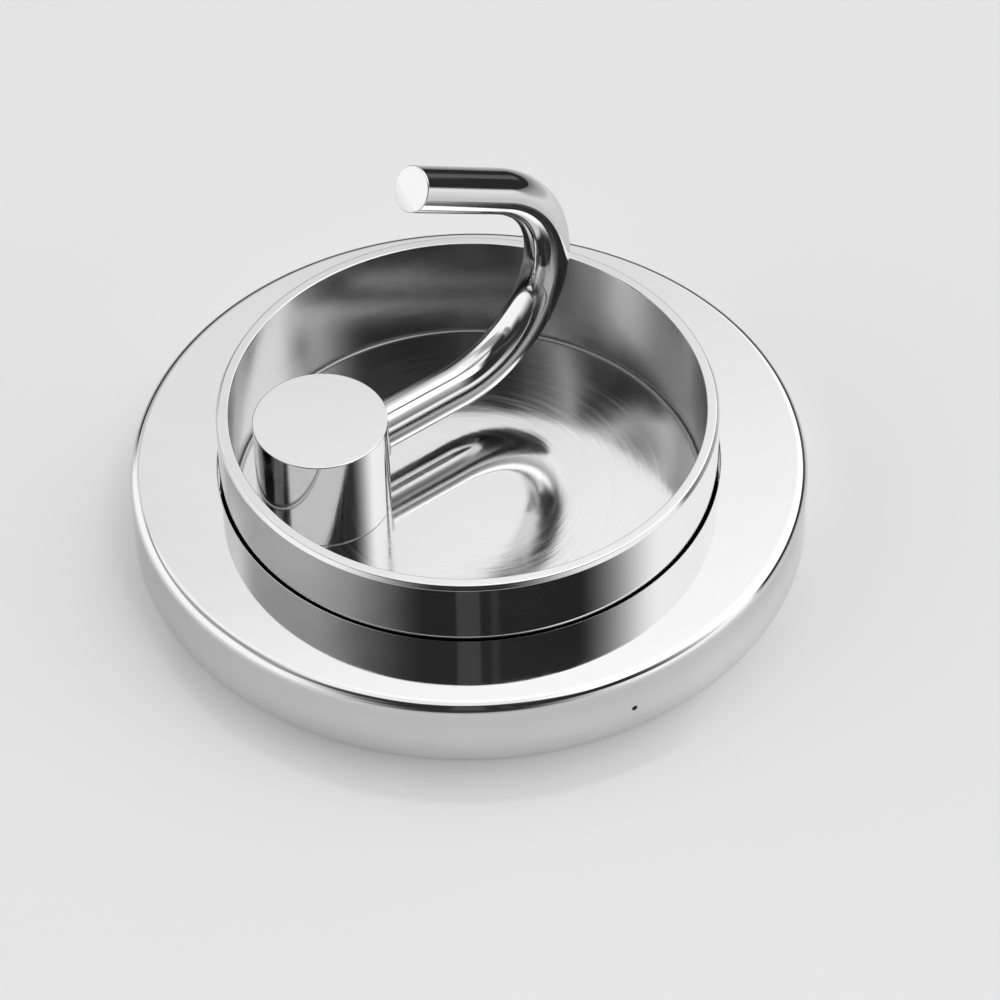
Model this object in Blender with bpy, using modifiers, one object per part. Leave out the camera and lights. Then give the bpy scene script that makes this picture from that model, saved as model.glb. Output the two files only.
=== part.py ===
# Folding towel hook of polished chrome for a wall
# The frame: +Z points away from the wall, the back lies on Z = 0, the rosette's axis is the Z axis
# The hook is modelled upright, as it stands when it holds a towel, and folds down into the cup

import math

import bmesh
import bpy
from mathutils import Matrix, Vector

# General clearances and counts
SEAT_GAP = 0.0003
OVERRUN = 0.0010
ROUND_STEPS = 80
POST_STEPS = 64
SMALL_STEPS = 48
SCREW_STEPS = 20
SEAL_SECTION_STEPS = 8
SMOOTH_ANGLE = math.radians(35)

# Rosette that covers the fixing
FLANGE_RADIUS = 0.0440
FLANGE_HEIGHT = 0.0095
FLANGE_EDGE_ROUND = 0.00145
FLANGE_WALL = 0.0020
FLANGE_FACE = 0.0020
FLANGE_HOLE_BREAK = 0.00015
COLLAR_WALL = 0.00175
CUP_SLOT_GAP = 0.0005

# Three screws that clamp the cup's ears to bosses under the rosette
CLAMP_COUNT = 3
CLAMP_SCREW_RADIUS = 0.0015
CLAMP_HEAD_RADIUS = 0.00265
CLAMP_HEAD_HEIGHT = 0.0013
BOSS_WALL = 0.0010
BOSS_FACE_LEFT = 0.0012
BOSS_OVERLAP = 0.0005
EAR_MARGIN = 0.0005
EAR_AIR = 0.0019
EAR_STEP = 0.0001

# Cup that stands out of the rosette
CUP_WALL = 0.0015
CUP_STAND = 0.0093
CUP_FLOOR = 0.0012
CUP_CORNER_ROUND = 0.0005
RIM_OUTER_ROUND = 0.0006
RIM_INNER_BREAK = 0.00015
REGISTER_HEIGHT = 0.0024
LIP_THICK = 0.0012
LIP_REACH = 0.0020

# Stamped plate on the wall
PLATE_THICK = 0.0012
PLATE_FLOOR_AIR = 0.0006
PLATE_EDGE_GAP = 0.0006
PLATE_TAB_WIDTH = 0.0100
BEARING_TAB_AIR = 0.0023
LOCK_TAB_AIR = 0.0009
LOCK_TAB_INSET = 0.0022
LOCK_TAB_STEP = 0.0001
LOCK_NOTCH_MARGIN = 0.0006
PLATE_WINDOW_MARGIN = 0.0017
WALL_SLOT_WIDTH = 0.0046
WALL_SLOT_LENGTH = 0.0092

# Grub screw that locks the rosette on the plate, in the side that faces the ground
GRUB_RADIUS = 0.0020
GRUB_FACE_AIR = 0.0010
GRUB_RECESS = 0.0005
GRUB_SOCKET = 0.00115
GRUB_SOCKET_DEPTH = 0.0018

# Hook, bent from one round rod, and the air that it keeps to the cup's wall
HOOK_TURN = math.radians(35)
ROD_RADIUS = 0.0030
BEND_ANGLE = math.radians(150)
UPRIGHT_AIR = 0.0041
NESTED_BEND_AIR = 0.00395
NESTED_TIP_AIR = 0.00105
BEND_STEPS = 25
ROD_SIDE_STEPS = 10

# Pivot inside the post: the rod's end is turned down to a journal that runs in a flanged bush
JOURNAL_STEP = 0.0005
BUSH_WALL = 0.0008
BUSH_SEAL_AIR = 0.00045
BUSH_COLLAR_REACH = 0.0005
BUSH_COLLAR_THICK = 0.0006
SPOT_FACE_DEPTH = 0.0015
SEAL_THICK = 0.0012
SEAL_AIR = 0.00035
SEAL_GROOVE_DEPTH = 0.0005
BORE_STEP_MARGIN = 0.0001

# Post on the cup's floor that holds the pivot
POST_TOP = 0.0142
POST_TOP_BREAK = 0.00015
POST_FOOT_BREAK = 0.0003
POST_SKIN = 0.0010
POST_BACK_WALL = 0.00155
POST_WALL_AIR = 0.0030
SPIGOT_SKIN = 0.0009
SPIGOT_FROM_WALL = 0.0006
POST_SCREW_WEB = 0.00075
POST_SCREW_RADIUS = 0.00125
POST_SCREW_REACH = 0.0065
POST_HEAD_RADIUS = 0.0022
POST_HEAD_HEIGHT = 0.0011

# Screw whose dog point keeps the journal in and stops the hook at both ends of its turn
STOP_FROM_END = 0.0018
STOP_SCREW_RADIUS = 0.00125
STOP_DOG_RADIUS = 0.0007
STOP_SLOT_DEPTH = 0.0009
STOP_SOCKET = 0.0007
STOP_SOCKET_DEPTH = 0.0012
FOLD_ANGLE = math.radians(90)
STOP_SLOT_STEPS = 18

# Spring-loaded pad that brakes the journal, so that the hook stays where it is put
PAD_WEB = 0.00085
PAD_RADIUS = 0.0015
PAD_HEIGHT = 0.0019
SPRING_WIRE = 0.0004
SPRING_TURNS = 3
SPRING_TURN_POINTS = 10
PLUG_HEIGHT = 0.0011
PLUG_SLOT_WIDTH = 0.0005
PLUG_SLOT_DEPTH = 0.0005

# Radii of the rosette and the cup, from the outside in
CHANNEL_RADIUS = FLANGE_RADIUS - FLANGE_WALL
CLAMP_HOLE_RADIUS = CLAMP_SCREW_RADIUS + SEAT_GAP
BOSS_RADIUS = CLAMP_HOLE_RADIUS + BOSS_WALL
EAR_RADIUS = BOSS_RADIUS + EAR_MARGIN
CLAMP_CIRCLE = CHANNEL_RADIUS - EAR_AIR - EAR_RADIUS
COLLAR_RADIUS = CLAMP_CIRCLE - BOSS_RADIUS + BOSS_OVERLAP
HOLE_RADIUS = COLLAR_RADIUS - COLLAR_WALL
REGISTER_RADIUS = HOLE_RADIUS - SEAT_GAP
LIP_RADIUS = REGISTER_RADIUS + LIP_REACH
CUP_RADIUS = HOLE_RADIUS - CUP_SLOT_GAP
CUP_INNER_RADIUS = CUP_RADIUS - CUP_WALL

# Levels above the wall
FLOOR_UNDER = PLATE_THICK + PLATE_FLOOR_AIR
FLOOR_TOP = FLOOR_UNDER + CUP_FLOOR
RIM_LEVEL = FLANGE_HEIGHT + CUP_STAND
CLAMP_SEAT = PLATE_THICK + SEAT_GAP + CLAMP_HEAD_HEIGHT
LIP_UNDER = CLAMP_SEAT + SEAT_GAP
LIP_TOP = LIP_UNDER + LIP_THICK
COLLAR_FOOT = LIP_TOP + SEAT_GAP
FACE_UNDER = FLANGE_HEIGHT - FLANGE_FACE
BOSS_HOLE_TOP = FLANGE_HEIGHT - BOSS_FACE_LEFT
GRUB_LEVEL = FACE_UNDER - GRUB_FACE_AIR - SEAT_GAP - GRUB_RADIUS

# The plate and what reaches up from it
PLATE_RADIUS = CHANNEL_RADIUS - PLATE_EDGE_GAP
LOCK_TAB_FACE = PLATE_RADIUS - LOCK_TAB_INSET
WALL_SLOT_CIRCLE = (LIP_RADIUS + PLATE_RADIUS) / 2

# Radii of the pivot and the post, from the rod's end out
JOURNAL_RADIUS = ROD_RADIUS - JOURNAL_STEP
BORE_RADIUS = JOURNAL_RADIUS + SEAT_GAP
BUSH_RADIUS = BORE_RADIUS + BUSH_WALL
BUSH_SEAT_RADIUS = BUSH_RADIUS + SEAT_GAP
BUSH_COLLAR_RADIUS = BUSH_RADIUS + BUSH_COLLAR_REACH
POST_HOLE_RADIUS = POST_SCREW_RADIUS + SEAT_GAP
POST_SCREW_SPREAD = BUSH_SEAT_RADIUS + POST_SCREW_WEB + POST_HOLE_RADIUS
POST_RADIUS = POST_SCREW_SPREAD + POST_HOLE_RADIUS + POST_SKIN
PAD_HOLE_RADIUS = PAD_RADIUS + SEAT_GAP
STOP_HOLE_RADIUS = STOP_SCREW_RADIUS + SEAT_GAP

# Places along the pivot, measured from the post's axis along the hook's lower leg
BORE_END = POST_BACK_WALL - POST_RADIUS
JOURNAL_END = BORE_END + SEAT_GAP
STOP_PLACE = JOURNAL_END + STOP_FROM_END
PAD_PLACE = STOP_PLACE + STOP_HOLE_RADIUS + PAD_WEB + PAD_HOLE_RADIUS
BORE_STEP_PLACE = PAD_PLACE + PAD_HOLE_RADIUS + BORE_STEP_MARGIN
SEAL_PLACE = BORE_STEP_PLACE + SEAL_AIR + SEAL_THICK / 2
BUSH_INNER_END = SEAL_PLACE + SEAL_THICK / 2 + BUSH_SEAL_AIR
SPOT_FACE = POST_RADIUS - SPOT_FACE_DEPTH
COLLAR_INNER = SPOT_FACE + SEAT_GAP
BUSH_OUTER_END = COLLAR_INNER + BUSH_COLLAR_THICK
SHOULDER = BUSH_OUTER_END + SEAT_GAP
SPIGOT_RADIUS = abs(PAD_PLACE) + PAD_HOLE_RADIUS + SPIGOT_SKIN

# Heights over the cup's floor inside the post
ROD_OVER_FLOOR = POST_TOP / 2
PAD_TOP = ROD_OVER_FLOOR - BORE_RADIUS
PAD_FOOT = PAD_TOP - PAD_HEIGHT
SPIGOT_FOOT = SPIGOT_FROM_WALL - FLOOR_TOP
SPRING_FOOT = SPIGOT_FOOT + PLUG_HEIGHT + SEAT_GAP
SPRING_TOP = PAD_FOOT - SEAT_GAP

# The hook's line in plan: the way its leg points, and the side that it folds to
POST_OFFSET = CUP_INNER_RADIUS - POST_RADIUS - POST_WALL_AIR
POST_CENTRE = Vector((-POST_OFFSET, 0))
LEG_WAY = Vector((math.cos(HOOK_TURN), math.sin(HOOK_TURN)))
FOLD_WAY = Vector((math.sin(HOOK_TURN), -math.cos(HOOK_TURN)))


def far_root(half_b, c):
    """The larger root of x * x + 2 * half_b * x + c = 0."""
    return math.sqrt(half_b * half_b - c) - half_b


# The upright hook's far side keeps its air to the cup's wall, measured along the leg
WALL_REACH = far_root(POST_CENTRE.dot(LEG_WAY), POST_CENTRE.length_squared - CUP_INNER_RADIUS ** 2)
BEND_REACH = WALL_REACH - UPRIGHT_AIR - ROD_RADIUS

# The bend is as wide as fits the cup when the hook is folded: its outer circle keeps its air to the wall
NEST_RADIUS = CUP_INNER_RADIUS - NESTED_BEND_AIR - ROD_RADIUS
REACH_POINT = POST_CENTRE + BEND_REACH * LEG_WAY
BEND_RADIUS = far_root(
    REACH_POINT.dot(FOLD_WAY - LEG_WAY) + NEST_RADIUS, REACH_POINT.length_squared - NEST_RADIUS ** 2
)
LEG_LENGTH = BEND_REACH - BEND_RADIUS

# The free end is as long as lets its outer corner pass the cup's wall
TIP_START = (
    POST_CENTRE
    + (LEG_LENGTH + BEND_RADIUS * math.sin(BEND_ANGLE)) * LEG_WAY
    + BEND_RADIUS * (1 - math.cos(BEND_ANGLE)) * FOLD_WAY
)
TIP_WAY = math.cos(BEND_ANGLE) * LEG_WAY + math.sin(BEND_ANGLE) * FOLD_WAY
TIP_OUTWARD = math.sin(BEND_ANGLE) * LEG_WAY - math.cos(BEND_ANGLE) * FOLD_WAY
TIP_CORNER = TIP_START + ROD_RADIUS * TIP_OUTWARD
TIP_LENGTH = far_root(
    TIP_CORNER.dot(TIP_WAY), TIP_CORNER.length_squared - (CUP_INNER_RADIUS - NESTED_TIP_AIR) ** 2
)

# Azimuths around the rosette: the hook points to the ground when the part is on a wall
LOCK_AZIMUTH = HOOK_TURN
TAB_AZIMUTHS = [LOCK_AZIMUTH + math.tau * i / CLAMP_COUNT for i in range(1, CLAMP_COUNT)]
CLAMP_AZIMUTHS = [LOCK_AZIMUTH + math.tau * (i + 0.5) / CLAMP_COUNT for i in range(CLAMP_COUNT)]
SLOT_AZIMUTHS = [HOOK_TURN + math.pi / 2, HOOK_TURN - math.pi / 2]


def clear_scene():
    for obj in list(bpy.data.objects):
        bpy.data.objects.remove(obj, do_unlink=True)


def new_collection(name):
    made = bpy.data.collections.new(name)
    bpy.context.scene.collection.children.link(made)
    return made


def finish_material(name, colour, metallic, roughness):
    made = bpy.data.materials.new(name)
    made.use_nodes = True
    shader = made.node_tree.nodes["Principled BSDF"]
    shader.inputs["Base Color"].default_value = (*colour, 1)
    shader.inputs["Metallic"].default_value = metallic
    shader.inputs["Roughness"].default_value = roughness
    return made


def add_object(name, data, place, parent=None):
    obj = bpy.data.objects.new(name, data)
    place.objects.link(obj)
    obj.parent = parent
    return obj


def as_cutter(obj):
    obj.hide_render = True
    obj.display_type = "WIRE"
    return obj


def boolean(target, tool, operation):
    step = target.modifiers.new(tool.name, "BOOLEAN")
    step.operation = operation
    step.solver = "EXACT"
    step.object = tool
    as_cutter(tool)


def cut(target, tool):
    boolean(target, tool, "DIFFERENCE")


def fuse(target, tool):
    boolean(target, tool, "UNION")


def shade_round(mesh):
    mesh.shade_smooth()
    mesh.set_sharp_from_angle(angle=SMOOTH_ANGLE)


def turned(name, profile, place, parent=None, closed=False, steps=ROUND_STEPS):
    """A solid of revolution about its own Z axis; the profile holds (radius, height) pairs."""
    mesh = bpy.data.meshes.new(name)
    verts = [(radius, 0, height) for radius, height in profile]
    edges = [(i, i + 1) for i in range(len(verts) - 1)]
    if closed:
        edges.append((len(verts) - 1, 0))
    mesh.from_pydata(verts, edges, [])
    obj = add_object(name, mesh, place, parent)
    screw = obj.modifiers.new("Turn", "SCREW")
    screw.axis = "Z"
    screw.steps = steps
    screw.render_steps = steps
    screw.use_merge_vertices = True
    screw.merge_threshold = 0.000001
    screw.use_smooth_shade = False
    return obj


def cylinder(name, radius, low, high, place, parent=None, steps=SMALL_STEPS):
    """A closed cylinder, or a prism with few steps, along its own Z axis from low to high."""
    bm = bmesh.new()
    middle = Matrix.Translation((0, 0, (low + high) / 2))
    bmesh.ops.create_cone(
        bm, cap_ends=True, segments=steps, radius1=radius, radius2=radius, depth=high - low, matrix=middle
    )
    mesh = bpy.data.meshes.new(name)
    bm.to_mesh(mesh)
    bm.free()
    shade_round(mesh)
    return add_object(name, mesh, place, parent)


def block(name, low, high, place, parent=None):
    """A box between two opposite corners."""
    bm = bmesh.new()
    low = Vector(low)
    high = Vector(high)
    size = Matrix.Diagonal((*(high - low), 1))
    bmesh.ops.create_cube(bm, size=1, matrix=Matrix.Translation((low + high) / 2) @ size)
    mesh = bpy.data.meshes.new(name)
    bm.to_mesh(mesh)
    bm.free()
    return add_object(name, mesh, place, parent)


def curve_to_mesh(obj, place):
    """The same shape as a closed mesh, which can be cut and joined."""
    bpy.context.view_layer.update()
    evaluated = obj.evaluated_get(bpy.context.evaluated_depsgraph_get())
    mesh = bpy.data.meshes.new_from_object(evaluated)
    bm = bmesh.new()
    bm.from_mesh(mesh)
    bmesh.ops.remove_doubles(bm, verts=bm.verts, dist=0.000001)
    bm.to_mesh(mesh)
    bm.free()
    name = obj.name
    world = obj.matrix_world.copy()
    parent = obj.parent
    bpy.data.objects.remove(obj, do_unlink=True)
    made = add_object(name, mesh, place, parent)
    made.matrix_world = world
    return made


def flat_outline(name, points, low, high, place, parent=None):
    """A plate from a closed outline in its own XY plane, from height low to height high."""
    curve = bpy.data.curves.new(name, "CURVE")
    curve.dimensions = "2D"
    curve.fill_mode = "BOTH"
    curve.extrude = (high - low) / 2
    spline = curve.splines.new("POLY")
    spline.points.add(len(points) - 1)
    for point, (x, y) in zip(spline.points, points):
        point.co = (x, y, 0, 1)
    spline.use_cyclic_u = True
    obj = add_object(name, curve, place, parent)
    obj.location.z = (low + high) / 2
    return curve_to_mesh(obj, place)


def rod_curve(name, points, radius, side_steps, place, parent=None):
    """A round rod along a line of points, with flat ends."""
    curve = bpy.data.curves.new(name, "CURVE")
    curve.dimensions = "3D"
    curve.bevel_depth = radius
    curve.bevel_resolution = side_steps
    curve.use_fill_caps = True
    spline = curve.splines.new("POLY")
    spline.points.add(len(points) - 1)
    for point, place_of in zip(spline.points, points):
        point.co = (*place_of, 1)
    return add_object(name, curve, place, parent)


def around(azimuth, radius, height=0):
    return Vector((radius * math.cos(azimuth), radius * math.sin(azimuth), height))


def arc(centre, radius, start, end, steps):
    """Points of an arc in a plane, both ends included."""
    turn = [start + (end - start) * i / steps for i in range(steps + 1)]
    return [(centre[0] + radius * math.cos(a), centre[1] + radius * math.sin(a)) for a in turn]


def slot_outline(length, width, steps):
    """A slot with round ends, long in its own X direction."""
    radius = width / 2
    half = length / 2 - radius
    right = arc((half, 0), radius, -math.pi / 2, math.pi / 2, steps)
    left = arc((-half, 0), radius, math.pi / 2, math.pi * 3 / 2, steps)
    return right + left


def finished(obj, material):
    obj.data.materials.append(material)
    return obj


def smooth_turned(obj):
    """Round faces shade smooth, and corners stay crisp."""
    obj.modifiers["Turn"].use_smooth_shade = True
    return obj


# The part starts from an empty scene
clear_scene()
parts = new_collection("folding_towel_hook")
cutters = new_collection("cutters")

chrome = finish_material("polished_chrome", (0.80, 0.81, 0.82), 1.0, 0.05)
rod_chrome = finish_material("polished_chrome_rod", (0.80, 0.81, 0.82), 1.0, 0.05)
floor_chrome = finish_material("turned_chrome", (0.78, 0.79, 0.80), 1.0, 0.10)
zinc_plate = finish_material("zinc_plated_steel", (0.62, 0.63, 0.65), 1.0, 0.35)
screw_steel = finish_material("stainless_screw", (0.55, 0.55, 0.56), 1.0, 0.30)
spring_steel = finish_material("spring_steel", (0.42, 0.42, 0.44), 1.0, 0.35)
bush_plastic = finish_material("white_acetal", (0.86, 0.86, 0.84), 0.0, 0.45)
pad_plastic = finish_material("black_nylon", (0.05, 0.05, 0.05), 0.0, 0.55)
seal_rubber = finish_material("black_rubber", (0.03, 0.03, 0.03), 0.0, 0.75)

# The post stands off the cup's centre, and its frame is turned so that +X runs along the hook's lower leg
post_frame = add_object("post_frame", None, parts)
post_frame.location = (-POST_OFFSET, 0, FLOOR_TOP)
post_frame.rotation_euler = (0, 0, HOOK_TURN)
hook_pivot = add_object("hook_pivot", None, parts, post_frame)
hook_pivot.location = (0, 0, ROD_OVER_FLOOR)


def flange_cover():
    """Turned rosette: front plate, side wall, collar round the cup, and three screw bosses behind."""
    corner = (FLANGE_RADIUS - FLANGE_EDGE_ROUND, FLANGE_HEIGHT - FLANGE_EDGE_ROUND)
    rounded_edge = arc(corner, FLANGE_EDGE_ROUND, math.pi / 2, 0, 5)
    profile = [
        (HOLE_RADIUS, FLANGE_HEIGHT - FLANGE_HOLE_BREAK),
        (HOLE_RADIUS + FLANGE_HOLE_BREAK, FLANGE_HEIGHT),
        *rounded_edge,
        (FLANGE_RADIUS, 0),
        (CHANNEL_RADIUS, 0),
        (CHANNEL_RADIUS, FACE_UNDER),
        (COLLAR_RADIUS, FACE_UNDER),
        (COLLAR_RADIUS, COLLAR_FOOT),
        (HOLE_RADIUS, COLLAR_FOOT),
    ]
    flange = smooth_turned(turned("flange_cover", profile, parts, closed=True))
    for i, azimuth in enumerate(CLAMP_AZIMUTHS):
        boss_top = FACE_UNDER + FLANGE_FACE / 2
        boss = cylinder(f"boss_{i}", BOSS_RADIUS, COLLAR_FOOT, boss_top, cutters, steps=SCREW_STEPS)
        boss.location = around(azimuth, CLAMP_CIRCLE)
        fuse(flange, boss)
    for i, azimuth in enumerate(CLAMP_AZIMUTHS):
        hole = cylinder(
            f"boss_hole_{i}", CLAMP_HOLE_RADIUS, COLLAR_FOOT - OVERRUN, BOSS_HOLE_TOP, cutters,
            steps=SCREW_STEPS,
        )
        hole.location = around(azimuth, CLAMP_CIRCLE)
        cut(flange, hole)
    side_hole = cylinder(
        "grub_hole", GRUB_RADIUS + SEAT_GAP, -OVERRUN, FLANGE_WALL + OVERRUN, cutters, steps=SCREW_STEPS
    )
    side_hole.location = around(LOCK_AZIMUTH, CHANNEL_RADIUS, GRUB_LEVEL)
    side_hole.rotation_euler = (0, math.pi / 2, LOCK_AZIMUTH)
    cut(flange, side_hole)
    return finished(flange, chrome)


def hook_cup():
    """Turned cup: floor, thin wall with a rounded rim, a register that centres it, and three ears."""
    corner_centre = (CUP_INNER_RADIUS - CUP_CORNER_ROUND, FLOOR_TOP + CUP_CORNER_ROUND)
    floor_corner = arc(corner_centre, CUP_CORNER_ROUND, -math.pi / 2, 0, 4)
    rim_centre = (CUP_RADIUS - RIM_OUTER_ROUND, RIM_LEVEL - RIM_OUTER_ROUND)
    rim_round = arc(rim_centre, RIM_OUTER_ROUND, math.pi / 2, 0, 4)
    register_top = COLLAR_FOOT + REGISTER_HEIGHT
    step_out = REGISTER_RADIUS - CUP_RADIUS
    profile = [
        (0, FLOOR_TOP),
        *floor_corner,
        (CUP_INNER_RADIUS, RIM_LEVEL - RIM_INNER_BREAK),
        (CUP_INNER_RADIUS + RIM_INNER_BREAK, RIM_LEVEL),
        *rim_round,
        (CUP_RADIUS, register_top),
        (REGISTER_RADIUS, register_top - step_out),
        (REGISTER_RADIUS, LIP_TOP),
        (LIP_RADIUS, LIP_TOP),
        (LIP_RADIUS, LIP_UNDER),
        (CUP_RADIUS, LIP_UNDER),
        (CUP_RADIUS, FLOOR_UNDER),
        (0, FLOOR_UNDER),
    ]
    cup = smooth_turned(turned("hook_cup", profile, parts))
    for i, azimuth in enumerate(CLAMP_AZIMUTHS):
        ear = cylinder(
            f"ear_{i}", EAR_RADIUS, LIP_UNDER + EAR_STEP, LIP_TOP - EAR_STEP, cutters, steps=SCREW_STEPS
        )
        ear.location = around(azimuth, CLAMP_CIRCLE)
        fuse(cup, ear)
    for i, azimuth in enumerate(CLAMP_AZIMUTHS):
        hole = cylinder(
            f"ear_hole_{i}", CLAMP_HOLE_RADIUS, LIP_UNDER - OVERRUN, LIP_TOP + SEAT_GAP / 2, cutters,
            steps=SCREW_STEPS,
        )
        hole.location = around(azimuth, CLAMP_CIRCLE)
        cut(cup, hole)
    floor_low = -CUP_FLOOR - OVERRUN
    spigot_hole = cylinder("spigot_hole", SPIGOT_RADIUS + SEAT_GAP, floor_low, OVERRUN, cutters, post_frame)
    cut(cup, spigot_hole)
    for side in (-1, 1):
        hole = cylinder(
            f"floor_hole_{side}", POST_HOLE_RADIUS, floor_low, OVERRUN, cutters, post_frame, steps=SCREW_STEPS
        )
        hole.location = (0, side * POST_SCREW_SPREAD, 0)
        cut(cup, hole)
    return finished(cup, floor_chrome)


def screw_profile(head_radius, head_height, shank_radius, grip):
    """Pan-head screw whose head lies under height zero and whose shank rises above it."""
    edge = head_height / 3
    point = shank_radius / 3
    return [
        (0, grip),
        (shank_radius - point, grip),
        (shank_radius, grip - point),
        (shank_radius, 0),
        (head_radius, 0),
        (head_radius, edge - head_height),
        (head_radius - edge, -head_height),
        (0, -head_height),
    ]


def screw_set(name, places, profile, head_height, parent=None):
    """Identical screws that share one mesh, with a cross recess in the head."""
    made = turned(f"{name}_blank", profile, cutters, steps=SCREW_STEPS)
    blank = as_cutter(smooth_turned(made))
    recess_depth = head_height / 2
    arm = head_height
    thin = head_height / 3
    low = -head_height - OVERRUN
    high = -head_height + recess_depth
    for turn in (0, 1):
        long_side = (arm, thin / 2) if turn == 0 else (thin / 2, arm)
        corner = (long_side[0], long_side[1], high)
        recess = block(f"{name}_recess_{turn}", (-corner[0], -corner[1], low), corner, cutters)
        cut(blank, recess)
    bpy.context.view_layer.update()
    single = bpy.data.meshes.new_from_object(blank.evaluated_get(bpy.context.evaluated_depsgraph_get()))
    shade_round(single)
    single.materials.append(screw_steel)
    for i, place in enumerate(places):
        screw = add_object(f"{name}_{i + 1}", single, parts, parent)
        screw.location = place


def cup_clamp_screws():
    """Three screws from behind through the cup's ears into the rosette's bosses."""
    grip = BOSS_HOLE_TOP - SEAT_GAP - CLAMP_SEAT
    profile = screw_profile(CLAMP_HEAD_RADIUS, CLAMP_HEAD_HEIGHT, CLAMP_SCREW_RADIUS, grip)
    places = [around(azimuth, CLAMP_CIRCLE, CLAMP_SEAT) for azimuth in CLAMP_AZIMUTHS]
    screw_set("cup_clamp_screw", places, profile, CLAMP_HEAD_HEIGHT)


def post_screws():
    """Two screws from behind through the cup's floor into the post."""
    seat = -CUP_FLOOR - SEAT_GAP
    profile = screw_profile(POST_HEAD_RADIUS, POST_HEAD_HEIGHT, POST_SCREW_RADIUS, POST_SCREW_REACH - seat)
    places = [Vector((0, side * POST_SCREW_SPREAD, seat)) for side in (-1, 1)]
    screw_set("post_screw", places, profile, POST_HEAD_HEIGHT, post_frame)


def along_pivot(name, radius, start, end, steps=SMALL_STEPS):
    """A cutter that runs along the hook's lower leg, centred on the pivot's axis."""
    tool = cylinder(name, radius, start, end, cutters, hook_pivot, steps)
    tool.rotation_euler = (0, math.pi / 2, 0)
    return tool


def pivot_post():
    """Plain round post with a stepped cross bore for the pivot, and all other holes from below."""
    profile = [
        (0, POST_TOP),
        (POST_RADIUS - POST_TOP_BREAK, POST_TOP),
        (POST_RADIUS, POST_TOP - POST_TOP_BREAK),
        (POST_RADIUS, SEAT_GAP + POST_FOOT_BREAK),
        (POST_RADIUS - POST_FOOT_BREAK, SEAT_GAP),
        (SPIGOT_RADIUS, SEAT_GAP),
        (SPIGOT_RADIUS, SPIGOT_FOOT),
        (0, SPIGOT_FOOT),
    ]
    post = smooth_turned(turned("pivot_post", profile, parts, post_frame, steps=POST_STEPS))
    reach = POST_RADIUS + OVERRUN
    cut(post, along_pivot("journal_bore", BORE_RADIUS, BORE_END, reach))
    cut(post, along_pivot("bush_bore", BUSH_SEAT_RADIUS, BORE_STEP_PLACE, reach))
    cut(post, along_pivot("spot_face", BUSH_COLLAR_RADIUS + SEAT_GAP, SPOT_FACE, reach))
    pad_hole = cylinder(
        "pad_hole", PAD_HOLE_RADIUS, SPIGOT_FOOT - OVERRUN, ROD_OVER_FLOOR, cutters, post_frame,
        steps=SCREW_STEPS,
    )
    pad_hole.location = (PAD_PLACE, 0, 0)
    cut(post, pad_hole)
    stop_hole = cylinder(
        "stop_hole", STOP_HOLE_RADIUS, -OVERRUN, ROD_OVER_FLOOR, cutters, post_frame, steps=SCREW_STEPS
    )
    stop_hole.location = (STOP_PLACE, 0, 0)
    cut(post, stop_hole)
    hole_top = POST_SCREW_REACH + SEAT_GAP
    for side in (-1, 1):
        hole = cylinder(
            f"post_hole_{side}", POST_HOLE_RADIUS, -OVERRUN, hole_top, cutters, post_frame, steps=SCREW_STEPS
        )
        hole.location = (0, side * POST_SCREW_SPREAD, 0)
        cut(post, hole)
    return finished(post, chrome)


def hook_path():
    """Centre line of the bare rod from its shoulder to its cut end, in the pivot's frame."""
    start = -math.pi / 2
    end = start + BEND_ANGLE
    bend = arc((LEG_LENGTH, BEND_RADIUS), BEND_RADIUS, start, end, BEND_STEPS)
    last = Vector(bend[-1])
    tip = last + TIP_LENGTH * Vector((-math.sin(end), math.cos(end)))
    flat = [(SHOULDER, 0), *bend, tuple(tip)]
    return [(x, 0, z) for x, z in flat]


def stop_slot_outline():
    """Part of a ring: the dog point stays in it while the hook turns from upright to folded."""
    floor_radius = JOURNAL_RADIUS - STOP_SLOT_DEPTH
    middle = JOURNAL_RADIUS - STOP_SLOT_DEPTH / 2
    end_room = math.asin((STOP_DOG_RADIUS + SEAT_GAP) / middle)
    outer = arc((0, 0), JOURNAL_RADIUS + OVERRUN, end_room, -FOLD_ANGLE - end_room, STOP_SLOT_STEPS)
    inner = arc((0, 0), floor_radius, -FOLD_ANGLE - end_room, end_room, STOP_SLOT_STEPS)
    return outer + inner


def hook_arm():
    """Bent rod whose root is turned down to a journal with a seal groove and a stop slot."""
    rod = rod_curve("hook_arm", hook_path(), ROD_RADIUS, ROD_SIDE_STEPS, parts, hook_pivot)
    arm = curve_to_mesh(rod, parts)
    groove_radius = JOURNAL_RADIUS - SEAL_GROOVE_DEPTH
    groove_half = SEAL_THICK / 2 + SEAT_GAP / 2
    end_break = SEAL_GROOVE_DEPTH / 2
    journal_profile = [
        (0, SHOULDER + OVERRUN),
        (JOURNAL_RADIUS, SHOULDER + OVERRUN),
        (JOURNAL_RADIUS, SEAL_PLACE + groove_half),
        (groove_radius, SEAL_PLACE + groove_half),
        (groove_radius, SEAL_PLACE - groove_half),
        (JOURNAL_RADIUS, SEAL_PLACE - groove_half),
        (JOURNAL_RADIUS, JOURNAL_END + end_break),
        (JOURNAL_RADIUS - end_break, JOURNAL_END),
        (0, JOURNAL_END),
    ]
    journal = turned("journal", journal_profile, cutters, hook_pivot, steps=SMALL_STEPS)
    journal.rotation_euler = (0, math.pi / 2, 0)
    fuse(arm, journal)
    half_width = STOP_DOG_RADIUS + SEAT_GAP
    slot = flat_outline("stop_slot", stop_slot_outline(), -half_width, half_width, cutters)
    slot.parent = hook_pivot
    slot.matrix_parent_inverse = Matrix.Identity(4)
    slot.location = (STOP_PLACE, 0, 0)
    slot.rotation_euler = (0, math.pi / 2, 0)
    cut(arm, slot)
    return finished(arm, rod_chrome)


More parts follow.
